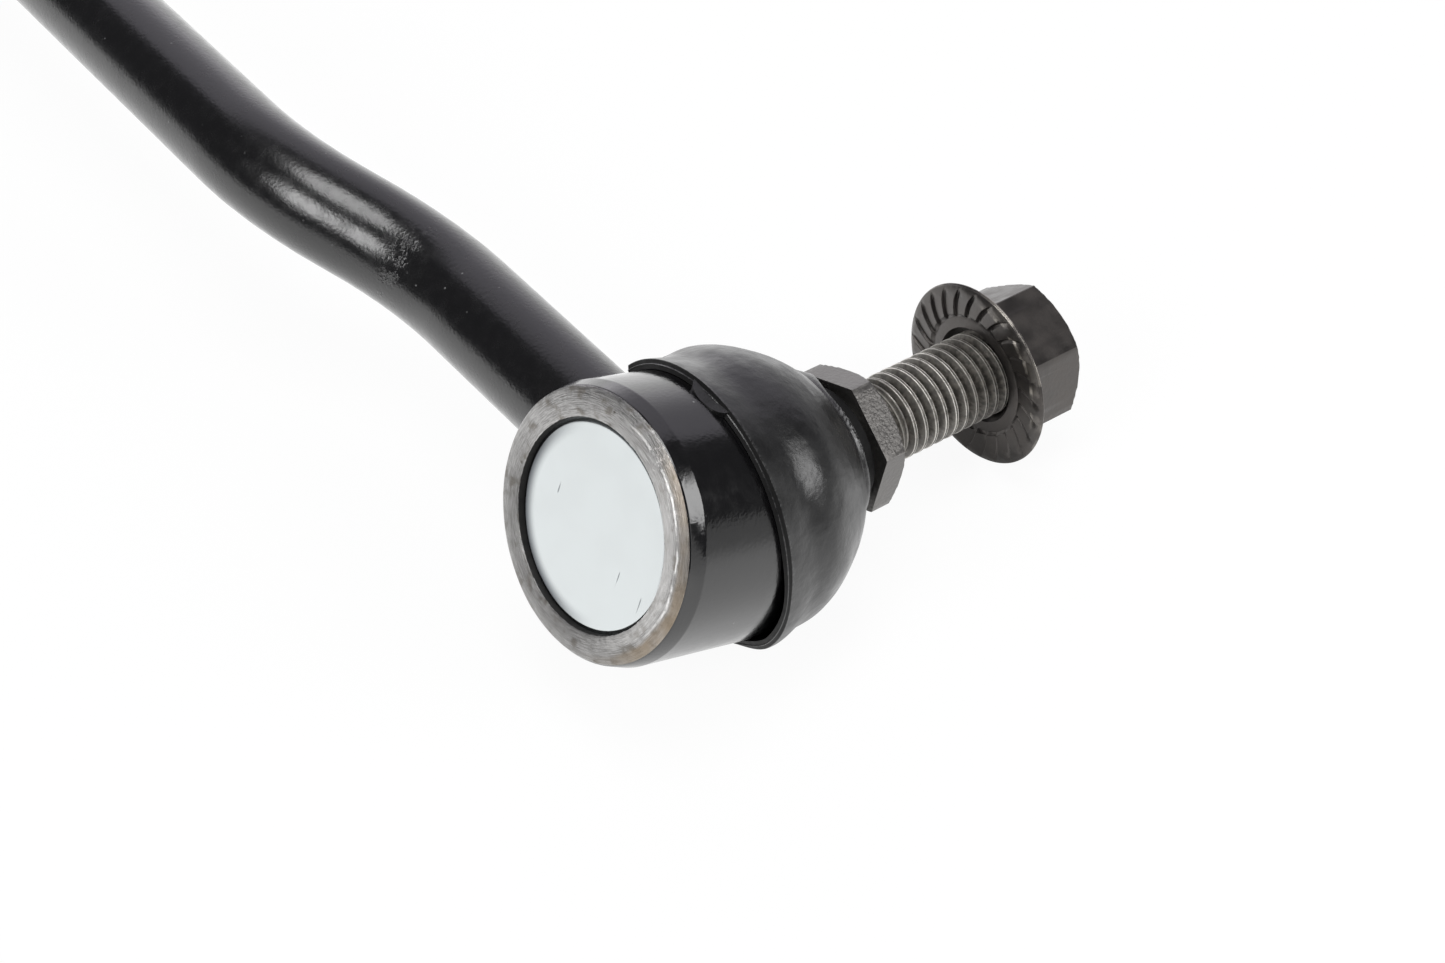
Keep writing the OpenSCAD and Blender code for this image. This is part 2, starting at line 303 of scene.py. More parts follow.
class End:
    """One end of the link: its letter, its side and its two axes."""

    def __init__(self, letter, side):
        self.letter = letter
        self.side = side
        self.ball = Vector(joints["swing_" + letter]["pos_m"])
        stud = Vector(joints["spin_" + letter]["axis"])
        housing = Matrix.Rotation(-STUD_TILT, 3, "X") @ stud
        self.stud = Axis(self.ball, stud, side)
        self.housing = Axis(self.ball, housing, side)


class Shell:
    """Points and faces of one piece, gathered ring by ring."""

    def __init__(self):
        self.points = []
        self.faces = []
        self.slots = []
        self.wear = []
        self.turned = []

    def ring(self, points, wear=0.0, turned=None):
        first = len(self.points)
        self.points += points
        self.wear += wear if isinstance(wear, list) else [wear] * len(points)
        self.turned += turned or [Vector()] * len(points)
        return list(range(first, len(self.points)))

    def join(self, a, b, slot=0):
        """Quads between two rings, or a fan where one of them is a single point."""
        count = max(len(a), len(b))
        for i in range(count):
            j = (i + 1) % count
            if len(a) == 1:
                face = [a[0], b[j], b[i]]
            elif len(b) == 1:
                face = [a[i], a[j], b[0]]
            else:
                face = [a[i], a[j], b[j], b[i]]
            self.faces.append(face)
            self.slots.append(slot)

    def loft(self, rings, slots=None, closed=False):
        """Joins rings in order, with one material slot for each gap between them."""
        pairs = list(zip(rings, rings[1:] + rings[:1]))
        if not closed:
            pairs.pop()
        for i, (a, b) in enumerate(pairs):
            self.join(a, b, slots[i] if slots else 0)

    def take(self, mesh, slot):
        """Adds a bmesh that keeps the wear of its points in a layer."""
        first = len(self.points)
        layer = mesh.verts.layers.float["wear"]
        mesh.verts.index_update()
        self.points += [v.co.copy() for v in mesh.verts]
        self.wear += [v[layer] for v in mesh.verts]
        self.turned += [Vector()] * len(mesh.verts)
        for face in mesh.faces:
            self.faces.append([first + v.index for v in face.verts])
            self.slots.append(slot)

    def build(self, name, materials, sharp=35):
        """Makes the object, with its normals outwards and its edges sharp past an angle."""
        data = bpy.data.meshes.new(name)
        data.from_pydata(self.points, [], self.faces)
        for material in materials:
            data.materials.append(material)
        data.polygons.foreach_set("material_index", self.slots)
        wear = data.attributes.new("wear", "FLOAT", "POINT")
        wear.data.foreach_set("value", self.wear)
        turned = data.attributes.new("turned", "FLOAT_VECTOR", "POINT")
        turned.data.foreach_set("vector", [value for place in self.turned for value in place])
        mesh = bmesh.new()
        mesh.from_mesh(data)
        bmesh.ops.recalc_face_normals(mesh, faces=mesh.faces)
        mesh.to_mesh(data)
        mesh.free()
        data.shade_smooth()
        data.set_sharp_from_angle(angle=radians(sharp))
        piece = bpy.data.objects.new(name, data)
        bpy.context.scene.collection.objects.link(piece)
        return piece


def angles(count, start=0.0):
    return [start + tau * i / count for i in range(count)]


def ease(low, high, value):
    """0 below low, 1 above high, and a smooth step between."""
    t = min(max((value - low) / (high - low), 0.0), 1.0)
    return t * t * (3 - 2 * t)


def band(ends, value):
    """1 between two soft ends and 0 outside them. An end is its outer and its inner value."""
    return ease(*ends[0], value) * ease(*ends[1], value)


def mixed(a, b, share):
    return a + (b - a) * share


def wrapped(angle):
    """An angle in degrees, from -180 to 180."""
    return (angle + pi) % tau * 180 / pi - 180


def arc(centre, radius, start, end, count):
    """Points on an arc of a profile, angles in degrees."""
    steps = [radians(mixed(start, end, i / count)) for i in range(count + 1)]
    return [(centre[0] + radius * cos(a), centre[1] + radius * sin(a)) for a in steps]


def lathe(shell, axis, profile, columns, slots=None, closed=False, wobble=None):
    """Turns a profile of radius and distance about an axis. wobble moves a point in both."""
    turn = angles(columns)
    rings = []
    for row, (radius, along) in enumerate(profile):
        if radius == 0:
            rings.append(shell.ring([axis.at(0, along, 0)]))
            continue
        points = []
        for angle in turn:
            dr, ds = wobble(row, angle) if wobble else (0.0, 0.0)
            points.append(axis.at(radius + dr, along + ds, angle))
        turned = [Vector((cos(angle), sin(angle), radius)) for angle in turn]
        rings.append(shell.ring(points, turned=turned))
    shell.loft(rings, slots, closed)


def hexagon(angle, apothem, turn):
    """Radius of a hexagon at an angle, with its corners worn a little."""
    off = (angle - turn + pi / 6) % (pi / 3) - pi / 6
    worn = 0.04
    return min(apothem / cos(pi / 6 - abs(off)), apothem / cos(pi / 6) - worn)


def trimmed(angle, apothem, turn, trim, down):
    """Radius of a hexagon at a distance down from its end face, where a cone trims it."""
    return min(hexagon(angle, apothem, turn), trim[0] + down / trim[1])


# Materials


class Nodes:
    """A node tree, with short ways to add to it."""

    def __init__(self, tree):
        self.tree = tree

    def node(self, kind, **settings):
        made = self.tree.nodes.new(kind)
        for key, value in settings.items():
            setattr(made, key, value)
        return made

    def feed(self, socket, value):
        if isinstance(value, bpy.types.NodeSocket):
            self.tree.links.new(value, socket)
        else:
            socket.default_value = value

    def split(self, vector):
        made = self.node("ShaderNodeSeparateXYZ")
        self.feed(made.inputs[0], vector)
        return made.outputs

    def vector(self, operation, a, b=None):
        """Result of a vector operation: a number for a length or distance, otherwise a vector."""
        made = self.node("ShaderNodeVectorMath", operation=operation)
        self.feed(made.inputs[0], a)
        if b is not None:
            self.feed(made.inputs[1], b)
        return made.outputs["Value" if operation in ("LENGTH", "DISTANCE") else "Vector"]

    def math(self, operation, a, b=0.0):
        made = self.node("ShaderNodeMath", operation=operation)
        self.feed(made.inputs[0], a)
        self.feed(made.inputs[1], b)
        return made.outputs[0]

    def times(self, a, b):
        return self.math("MULTIPLY", a, b)

    def span(self, value, low, high, start=0.0, end=1.0):
        """Maps low..high to start..end, held at both ends."""
        made = self.node("ShaderNodeMapRange", interpolation_type="SMOOTHSTEP")
        self.feed(made.inputs["Value"], value)
        made.inputs["From Min"].default_value = low
        made.inputs["From Max"].default_value = high
        made.inputs["To Min"].default_value = start
        made.inputs["To Max"].default_value = end
        return made.outputs[0]

    def mix(self, share, a, b, kind="FLOAT"):
        made = self.node("ShaderNodeMix", data_type=kind)
        for key, value in (("Factor", share), ("A", a), ("B", b)):
            self.feed(made.inputs[key], value)
        return made.outputs["Result"]

    def colour(self, share, a, b):
        """A mix of two colours, each an output or three values."""
        a, b = [(*end, 1) if isinstance(end, tuple) else end for end in (a, b)]
        return self.mix(share, a, b, "RGBA")


class Shader(Nodes):
    """A material, with the patterns that its colours and bumps are made of."""

    def __init__(self, name):
        self.material = bpy.data.materials.new(name)
        self.material.use_nodes = True
        super().__init__(self.material.node_tree)
        self.bsdf = self.tree.nodes["Principled BSDF"]
        self.place = self.node("ShaderNodeTexCoord").outputs["Object"]

    def set(self, **values):
        """Sets the shader's own sockets, named with _ for a space."""
        for key, value in values.items():
            self.feed(self.bsdf.inputs[key.replace("_", " ")], value)

    def attribute(self, name, part):
        return self.node("ShaderNodeAttribute", attribute_name=name).outputs[part]

    def wear(self):
        return self.attribute("wear", "Fac")

    def turned(self, part):
        """One part of the place round a turned piece: X and Y of the direction, Z the radius."""
        return self.split(self.attribute("turned", "Vector"))[part]

    def towards(self, angle):
        """Cosine between a place round a turned piece and one direction, an angle in degrees."""
        across = self.times(self.turned("X"), cos(radians(angle)))
        return self.math("ADD", across, self.times(self.turned("Y"), sin(radians(angle))))

    def noise(self, scale, detail=3.0, place=None):
        made = self.node("ShaderNodeTexNoise")
        self.feed(made.inputs["Vector"], place or self.place)
        made.inputs["Scale"].default_value = scale
        made.inputs["Detail"].default_value = detail
        return made.outputs["Fac"]

    def streaks(self, across, around, detail=3.0):
        """Noise drawn out round a turned piece: fine across its radius, long around it."""
        turned = self.attribute("turned", "Vector")
        return self.noise(1.0, detail, self.vector("MULTIPLY", turned, (around, around, across)))

    def specks(self, scale, size, share):
        """Dots in a random share of the cells of a pattern."""
        cells = self.node("ShaderNodeTexVoronoi")
        self.feed(cells.inputs["Vector"], self.place)
        cells.inputs["Scale"].default_value = scale
        split = self.node("ShaderNodeSeparateColor")
        self.feed(split.inputs[0], cells.outputs["Color"])
        chosen = self.math("LESS_THAN", split.outputs[0], share)
        return self.times(chosen, self.span(cells.outputs["Distance"], size, 0.0))

    def bump(self, height, distance, under=None):
        made = self.node("ShaderNodeBump")
        self.feed(made.inputs["Height"], height)
        made.inputs["Distance"].default_value = distance
        made.inputs["Strength"].default_value = 1.0
        if under:
            self.feed(made.inputs["Normal"], under)
        return made.outputs[0]


def coat_material(name, roughness, dust):
    """Black electrocoat: semi-gloss, dusty, its fine grain turning to wrinkles where it is worn."""
    s = Shader(name)
    black = (0.0024, 0.0023, 0.0027)
    pale = (0.2, 0.2, 0.2)
    patchy = s.times(s.wear(), s.span(s.noise(700, 2), 0.42, 0.6))
    wrinkle = s.times(patchy, s.math("SUBTRACT", s.noise(2600, 2), 0.5))
    specks = s.times(s.specks(1100, 0.2, dust), s.span(s.noise(60, 3), 0.42, 0.62))
    s.set(Base_Color=s.colour(specks, black, pale), IOR=1.62)
    s.set(Roughness=s.span(s.noise(700), 0.3, 0.75, roughness - 0.03, roughness + 0.05))
    grain = s.bump(s.noise(2600, 2), 0.00002 * roughness / 0.2)
    s.set(Normal=s.bump(wrinkle, 0.0003, under=grain))
    return s.material


def steel_material():
    """Bare burnished steel of the crimp: blotched, brown outside a ridge, lighter inside it on the outboard
    side by wear and painted light, with a painted highlight along the ridge and painted shade on one side.
    """
    s = Shader("bare_steel")
    dull = (0.23, 0.225, 0.22)
    bright = (0.42, 0.415, 0.41)
    blot = (0.18, 0.165, 0.145)
    pit = (0.1, 0.09, 0.08)
    rubbed = (0.6, 0.59, 0.58)
    rust = (0.23, 0.185, 0.135)
    ridge_highlight = (0.8, 0.79, 0.78)
    painted_shade = (0.06, 0.058, 0.055)
    streak = s.streaks(16.0, 9.0, 6)
    blotch = s.noise(620, 6)
    outboard = s.span(s.turned("X"), 0.2, 0.75)
    wavy = s.math("ADD", s.turned("Z"), s.span(s.noise(200, 4), 0.3, 0.7, -0.16, 0.16))
    inside = s.span(wavy, RIDGE_R - 0.1, RIDGE_R - 0.8, 0.0, 0.4)
    brown = s.times(s.span(wavy, RIDGE_R, RIDGE_R + 0.6), s.span(s.noise(120, 3), 0.38, 0.6, 0.3, 0.9))
    ridge = s.span(s.math("ABSOLUTE", s.math("SUBTRACT", wavy, RIDGE_R)), 0.2, 0.03)
    ridge = s.times(ridge, s.span(blotch, 0.35, 0.55))
    base = s.colour(s.span(streak, 0.36, 0.64), dull, bright)
    base = s.colour(s.span(blotch, 0.52, 0.68, 0.0, 0.8), base, blot)
    base = s.colour(s.specks(1000, 0.3, 0.12), base, pit)
    # Lighter inside the ridge on the outboard side: part wear, part painted light
    base = s.colour(s.times(inside, outboard), base, rubbed)
    base = s.colour(s.times(brown, outboard), base, rust)
    # A painted highlight along the ridge, on one side only
    base = s.colour(s.times(ridge, s.span(s.towards(HIGHLIGHT_SIDE), 0.4, 0.85)), base, ridge_highlight)
    # Painted shade, darker towards one side of the crimp
    base = s.colour(s.span(s.towards(CRIMP_SHADE_SIDE), -0.1, 0.8, 0.0, 0.4), base, painted_shade)
    s.set(Base_Color=base, Metallic=1.0)
    s.set(Roughness=s.span(blotch, 0.3, 0.7, 0.28, 0.46))
    s.set(Normal=s.bump(s.math("ADD", s.times(streak, 0.5), blotch), 0.00011))
    return s.material


def zinc_material():
    """Bright zinc plate with fine scratches and specks, and painted shade along one side of its edge."""
    s = Shader("zinc_plate")
    dull = (0.508, 0.538, 0.542)
    bright = (0.562, 0.588, 0.592)
    mark = (0.1, 0.11, 0.12)
    painted_shade = (0.04, 0.045, 0.055)
    cloud = s.noise(240, 4)
    drawn = s.vector("MULTIPLY", s.place, (9.0, 0.8, 1.6))
    scratch = s.span(s.noise(150, 1, drawn), 0.745, 0.775)
    marks = s.math("MAXIMUM", s.specks(420, 0.06, 0.04), scratch)
    # Painted shade near the plate's edge, on one side
    edge_shade = s.times(s.span(s.turned("Z"), *PLATE_SHADE_R), s.span(s.towards(PLATE_SHADE_SIDE), 0.0, 0.8, 0.0, 0.92))
    base = s.colour(s.times(marks, 0.75), s.colour(cloud, dull, bright), mark)
    s.set(Base_Color=s.colour(edge_shade, base, painted_shade))
    s.set(Metallic=1.0, Roughness=s.span(cloud, 0.3, 0.7, 0.2, 0.27))
    s.set(Normal=s.bump(s.streaks(5.0, 6.0, 2), 0.000003))
    return s.material


def rubber_material():
    """Black moulded rubber with a soft sheen, pale along its edges: scuffing, with painted glints on the lip
    and a painted highlight on the rim's ridge.
    """
    s = Shader("boot_rubber")
    black = (0.003, 0.003, 0.0032)
    dust = (0.06, 0.06, 0.06)
    pale = (0.3, 0.3, 0.3)
    # Pale flecks where the wear attribute is set: scuffing, with painted glints on the lip and a painted
    # highlight on the rim's ridge
    grit_and_glint = s.times(s.wear(), s.span(s.noise(3400, 2), 0.44, 0.62))
    base = s.colour(s.specks(500, 0.14, 0.02), black, dust)
    s.set(Base_Color=s.colour(grit_and_glint, base, pale), IOR=1.56)
    s.set(Roughness=s.span(s.noise(350, 4), 0.3, 0.7, 0.29, 0.4))
    waves = s.bump(s.noise(140, 2), 0.0003)
    s.set(Normal=s.bump(s.noise(700, 5), 0.00009, under=waves))
    return s.material


def stud_material():
    """Black phosphated steel, with one flat of the hexagon stippled."""
    s = Shader("black_steel")
    grain = s.noise(2200, 3)
    s.set(Base_Color=s.colour(grain, (0.07, 0.067, 0.064), (0.16, 0.153, 0.146)))
    s.set(Metallic=0.65, Roughness=s.span(grain, 0.3, 0.7, 0.36, 0.44))
    fine = s.bump(grain, 0.00005)
    s.set(Normal=s.bump(s.times(s.wear(), s.noise(2600, 2)), 0.00014, under=fine))
    return s.material


def thread_material():
    """Dark brown phosphated thread, pale along its crests by wear and a painted glint, faded by painted
    shade near the nut.
    """
    s = Shader("thread_steel")
    dark = (0.05, 0.046, 0.04)
    brown = (0.135, 0.123, 0.107)
    wear_and_glint = (0.95, 0.92, 0.86)
    grain = s.noise(1800, 4)
    # Pale crests: part wear, part a painted glint
    worn = s.times(s.wear(), s.span(s.noise(800, 3), 0.25, 0.5, 0.35, 1.0))
    base = s.colour(s.span(grain, 0.35, 0.7), dark, brown)
    s.set(Base_Color=s.colour(worn, base, wear_and_glint))
    s.set(Metallic=s.span(worn, 0.0, 1.0, 0.5, 0.15), Roughness=s.span(worn, 0.0, 1.0, 0.42, 0.3))
    s.set(Normal=s.bump(grain, 0.00006))
    return s.material


def nut_material():
    """Black oxide, a little brown, with bright worn edges."""
    s = Shader("black_nut")
    cloud = s.noise(330, 4)
    worn = s.times(s.wear(), s.span(s.noise(420, 5), 0.44, 0.6))
    base = s.colour(cloud, (0.05, 0.048, 0.047), (0.1, 0.09, 0.083))
    s.set(Base_Color=s.colour(worn, base, (0.62, 0.58, 0.52)))
    s.set(Metallic=0.85, Roughness=s.span(cloud, 0.3, 0.7, 0.3, 0.44))
    s.set(Normal=s.bump(s.noise(1500, 3), 0.00003))
    return s.material


def plain_material(name, dark, light, metallic, roughness, ior=1.5):
    """A plain finish: two tones of a fine grain."""
    s = Shader(name)
    grain = s.noise(1200, 3)
    s.set(Base_Color=s.colour(grain, dark, light), Metallic=metallic, IOR=ior)
    s.set(Roughness=s.span(grain, 0.3, 0.7, roughness - 0.06, roughness + 0.06))
    s.set(Normal=s.bump(grain, 0.00001))
    return s.material


COAT = coat_material("black_coat", 0.15, 0.02)
ROD_COAT = coat_material("rod_coat", 0.24, 0.12)
STEEL = steel_material()
ZINC = zinc_material()
RUBBER = rubber_material()
STUD = stud_material()
THREAD = thread_material()
NUT = nut_material()
SEAT = plain_material("seat_plastic", (0.62, 0.6, 0.52), (0.72, 0.7, 0.62), 0.0, 0.45)
# Near black, for the window's wall and a strip at the crimp's inner edge: painted shade, with a painted
# shadow line at the gap
WINDOW_SHADE = plain_material("window_shade", (0.004, 0.004, 0.004), (0.02, 0.019, 0.018), 0.0, 0.6)
# Painted shade: the bush is near black and barely reflective, so the gap round the neck shows dark
SHADED_BUSH = plain_material("bush_shaded", (0.003, 0.003, 0.003), (0.006, 0.006, 0.006), 0.0, 0.7, 1.3)
# Painted shade: the rim's end face gets a darker, duller copy of the rubber, so it shows dark
SHADED_RIM_RUBBER = plain_material("rim_rubber_shaded", (0.002, 0.002, 0.002), (0.005, 0.005, 0.005), 0.0, 0.6, 1.35)
SPRING = plain_material("spring_steel", (0.25, 0.25, 0.26), (0.4, 0.4, 0.41), 1.0, 0.35)
HIDDEN = {"front_seat": SEAT, "rear_seat": SEAT, "preload_washer": SPRING, "boot_bush": SHADED_BUSH}


# The rod


def rod_path():
    """Centre line from end A to the middle, as distance along X from the ball and sideways step."""
    rise = BEND_RADIUS * (1 - cos(BEND_ANGLE))
    run = BEND_RADIUS * sin(BEND_ANGLE)
    straight = (BEND_OFFSET - 2 * rise) / sin(BEND_ANGLE)
    turns = ceil(BEND_RADIUS * BEND_ANGLE / ROD_STEP)
    curve = [BEND_ANGLE * i / turns for i in range(turns + 1)]
    count = ceil((BEND_START - ROD_FROM) / ROD_STEP)
    path = [(mixed(ROD_FROM, BEND_START, i / count), 0.0) for i in range(count)]
    path += [(BEND_START + BEND_RADIUS * sin(a), BEND_RADIUS * (1 - cos(a))) for a in curve]
    end = BEND_START + 2 * run + straight * cos(BEND_ANGLE)
    back = reversed(curve)
    path += [(end - BEND_RADIUS * sin(a), BEND_OFFSET - BEND_RADIUS * (1 - cos(a))) for a in back]
    return path


def make_rod():
    """A round bar along the centre line, the same at both ends."""
    a = ENDS[0]
    half = a.ball.x / MM
    lie = atan2(-a.housing.along.z, a.housing.along.y) + BEND_ROLL
    aside = Vector((0, -cos(lie), sin(lie)))
    third = X_AXIS.cross(aside)
    foot = Vector((0, a.ball.y, a.ball.z)) - a.housing.along * ROD_BACK * MM
    path = [(half - x, y) for x, y in rod_path()]
    last = path[-1][0]
    count = ceil(2 * last / ROD_MIDDLE_STEP)
    middle = [mixed(last, -last, i / count) for i in range(1, count)]
    line = path + [(x, BEND_OFFSET) for x in middle] + [(-x, y) for x, y in reversed(path)]
    turn = angles(ROD_COLUMNS)
    side = [ease(*WRINKLE_SPAN, cos(t - WRINKLE_SIDE)) for t in turn]
    shell = Shell()
    rings = []
    for i, (x, y) in enumerate(line):
        before = line[max(i - 1, 0)]
        after = line[min(i + 1, len(line) - 1)]
        lean = atan2(after[1] - before[1], before[0] - after[0])
        across = aside * cos(lean) + X_AXIS * sin(lean)
        centre = foot + (X_AXIS * x + aside * y) * MM
        points = [centre + (across * cos(t) + third * sin(t)) * ROD_R * MM for t in turn]
        crease = 1 - ease(0.0, WRINKLE_HALF, abs(half - abs(x) - WRINKLE_AT))
        rings.append(shell.ring(points, [crease * share for share in side]))
    ends = [shell.ring([foot + X_AXIS * x * MM]) for x in (line[0][0], line[-1][0])]
    shell.loft([ends[0]] + rings + [ends[1]])
    rod = shell.build("rod", [ROD_COAT])
    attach(rod, "link")
    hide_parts("link_rod")


# The housing and its cover plate


def make_housing(end):
    """The cup: a bare crimped rim, a short taper, a glossy barrel and the hidden bore."""
    lip = HOUSING_BACK - CRIMP_RISE
    wall = [(WINDOW_R, PLATE_BACK), (WINDOW_R, lip + CRIMP_WALL)]
    rim = [(WINDOW_R + out, lip + drop) for out, drop in CRIMP_FACE]
    rim += [(CRIMP_R - into, lip + drop) for into, drop in CRIMP_ROUND]
    taper_from = lip + CRIMP_FOOT
    taper_to = HOUSING_BACK + CRIMP_TAPER
    slope = (HOUSING_R - CRIMP_R) / (taper_to - taper_from)
    barrel = [
        (CRIMP_R, taper_from),
        (CRIMP_R + TAPER_START * slope, taper_from + TAPER_START),
        (HOUSING_R - TAPER_END * slope, taper_to - TAPER_END),
        (HOUSING_R, taper_to),
        (HOUSING_R, taper_to + TAPER_END),
        (HOUSING_R, BARREL_MIDDLE),
        (HOUSING_R, SHOULDER),
        (NOSE_R, HOUSING_FRONT),
        (MOUTH_R, HOUSING_FRONT),
        (MOUTH_R, HOUSING_FRONT - MOUTH_LIP),
        (BORE_R, HOUSING_FRONT - MOUTH_LIP),
        (BORE_R, PLATE_BACK + PLATE_THICK),
        (POCKET_R, PLATE_BACK + PLATE_THICK),
        (POCKET_R, PLATE_BACK),
    ]
    # Rows of the profile at the window's edge and round the outside of the crimp
    ragged = range(1, len(wall) + 2)
    outer = range(len(wall) + len(CRIMP_FACE), len(wall) + len(rim) + 1)

    def wobble(row, angle):
        """What makes the crimp untrue: a step out and a step along."""
        if row == 0 or row > outer[-1]:
            return 0.0, 0.0
        spot = Vector((cos(angle), sin(angle), 0)) * WOBBLE_ROUND + Vector((0, 0, end.side))
        out = 0.0
        if row in ragged:
            out = noise.noise(spot * RAGGED_SCALE) * RAGGED - WINDOW_OFF * cos(angle - WINDOW_OFF_AT)
        if row in outer:
            out += CRIMP_OFF * sin(angle)
        return out, noise.noise(spot * UNEVEN_SCALE) * UNEVEN

    shell = Shell()
    # The window's wall and the first strip of the crimp's face take the near-black painted shade
    black, bare, shaded = range(3)
    slots = [shaded] * len(wall) + [bare] * (len(rim) - 1) + [black] * len(barrel) + [shaded]
    lathe(shell, end.housing, wall + rim + barrel, HOUSING_COLUMNS, slots, closed=True, wobble=wobble)
    housing = shell.build("housing_" + end.letter + "_shell", [COAT, STEEL, WINDOW_SHADE], sharp=30)
    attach(housing, "link")
    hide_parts("housing_" + end.letter)


def make_plate(end):
    """The zinc disc, its middle raised into the window and its edge rounded."""
    front = PLATE_BACK + PLATE_THICK
    foot = WINDOW_R - PLATE_CLEAR
    crown = [(r, PLATE_BACK - PLATE_CROWN * ease(foot, PLATE_FLAT_R, r)) for r in PLATE_RINGS]
    edge = arc((PLATE_R - PLATE_EDGE, PLATE_BACK + PLATE_EDGE), PLATE_EDGE, -90, 0, 4)
    shell = Shell()
    lathe(shell, end.housing, crown + edge + [(PLATE_R, front), (0, front)], PLATE_COLUMNS)
    plate = shell.build("cover_plate_" + end.letter + "_disc", [ZINC])
    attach(plate, "link")
    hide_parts("cover_plate_" + end.letter)


# The stud


def thread_mesh(axis, start, stop, hand):
    """A right-handed thread as a helical grid, cut square at both ends. hand is the side of the end."""
    # Place across one pitch, depth there on the thread and in its run-out, and the crests' pale colour in
    # both, which is wear and a painted glint.
    # The rolled crest keeps a seam between its two edges
    steps = [
        (-0.15, 0.12, 0.4, 0.15, 0.0),
        (-0.125, 0.02, 0.1, 1.0, 0.6),
        (-0.1, 0.0, 0.0, 1.0, 0.8),
        (-0.075, 0.05, 0.1, 0.1, 0.3),
        (0.07, 0.05, 0.4, 0.0, 0.0),
        (0.09, 0.0, 0.5, 0.9, 0.0),
        (0.12, 0.02, 0.6, 0.9, 0.0),
        (0.15, 0.12, 0.7, 0.0, 0.0),
        (0.37, 0.9, 0.8, 0.0, 0.0),
        (0.44, 1.0, 0.3, 0.0, 0.3),
        (0.5, 1.0, 0.0, 0.0, 0.6),
        (0.56, 1.0, 0.3, 0.0, 0.3),
        (0.63, 0.9, 0.9, 0.0, 0.0),
    ]
    first = int((start - THREAD_CREST) / THREAD_PITCH) - 2
    last = ceil((stop - THREAD_CREST) / THREAD_PITCH) + 2
    rows = [(turn + step[0], *step[1:]) for turn in range(first, last) for step in steps]
    mesh = bmesh.new()
    layer = mesh.verts.layers.float.new("wear")
    grid = []
    for place, full, runout, bright, glint in rows:
        line = []
        for i, angle in enumerate(angles(THREAD_COLUMNS)):
            along = THREAD_CREST + (place - hand * i / THREAD_COLUMNS) * THREAD_PITCH
            grown = ease(start + RUNOUT / 2, start + RUNOUT, along)
            crest = THREAD_R - RUNOUT_LOW * (1 - grown)
            depth = mixed(runout * RUNOUT_DEPTH, full * THREAD_DEPTH, grown)
            radius = min(crest - depth, THREAD_R - TIP_CHAMFER + (stop - along))
            vertex = mesh.verts.new(axis.at(radius, along, angle))
            # The crests' pale colour fades near the nut as painted shade
            vertex[layer] = mixed(glint, bright, grown) * mixed(1.0, NUT_SHADE, ease(*NUT_SHADE_FROM, along))
            line.append(vertex)
        grid.append(line)
    for k in range(len(grid) - 1):
        for i in range(THREAD_COLUMNS):
            if i + 1 < THREAD_COLUMNS:
                quad = [grid[k][i], grid[k][i + 1], grid[k + 1][i + 1], grid[k + 1][i]]
            else:
                low = k - int(hand) * len(steps)
                if not 0 <= low < len(grid) - 1:
                    continue
                quad = [grid[k][i], grid[low][0], grid[low + 1][0], grid[k + 1][i]]
            mesh.faces.new(quad)
    for along, outwards in ((start, -1), (stop, 1)):
        parts = mesh.verts[:] + mesh.edges[:] + mesh.faces[:]
        plane = {"plane_co": axis.at(0, along, 0), "plane_no": axis.along * outwards}
        bmesh.ops.bisect_plane(mesh, geom=parts, clear_outer=True, **plane)
        rim = [e for e in mesh.edges if e.is_boundary and near_plane(e, axis, along)]
        bmesh.ops.holes_fill(mesh, edges=rim)
    return mesh


def near_plane(edge, axis, along):
    """Whether both ends of an edge lie at one distance along an axis."""
    slack = 0.001
    return all(abs((v.co - axis.origin).dot(axis.along) / MM - along) < slack for v in edge.verts)


def make_stud(end):
    """Ball, waist, collar and hexagon, with the thread cut as a helix."""
    axis = end.stud
    hex_to = HEX_FROM + HEX_THICK
    turn = angles(STUD_COLUMNS, HEX_TURN)
    stipple = [ease(*STIPPLED_HALF, abs(wrapped(t) - STIPPLED_AT)) for t in turn]
    shell = Shell()
    lift = atan2(NECK_R, sqrt(BALL_R**2 - NECK_R**2))
    rise = [pi * i / BALL_ROWS for i in range(1, BALL_ROWS)]
    ball = [(BALL_R * sin(a), -BALL_R * cos(a)) for a in rise]
    ball = [p for p in ball if p[1] < BALL_R * cos(lift)]
    neck = [(NECK_R, BALL_R * cos(lift)), (NECK_R, WAIST_TO), (LAND_R, LAND_FROM), (LAND_R, HEX_FROM)]
    rings = [shell.ring([axis.at(0, -BALL_R, 0)])]
    rings += [shell.ring([axis.at(r, s, t) for t in turn]) for r, s in ball + neck]
    for down in HEX_ROWS:
        radii = [trimmed(t, HEX_APOTHEM, HEX_TURN, HEX_TRIM, down) for t in turn]
        points = [axis.at(r, hex_to - down, t) for r, t in zip(radii, turn)]
        rings.append(shell.ring(points, stipple))
    rings += [shell.ring([axis.at(r, hex_to, t) for t in turn]) for r in HEX_FACE]
    rings.append(shell.ring([axis.at(0, hex_to, 0)]))
    shell.loft(rings)

    thread = thread_mesh(axis, hex_to - THREAD_SUNK, STUD_TIP, end.side)
    shell.take(thread, slot=1)
    thread.free()
    stud = shell.build("ball_stud_" + end.letter + "_forged", [STUD, THREAD], sharp=28)
    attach(stud, "stud_" + end.letter)
    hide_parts("ball_stud_" + end.letter)


# The nut


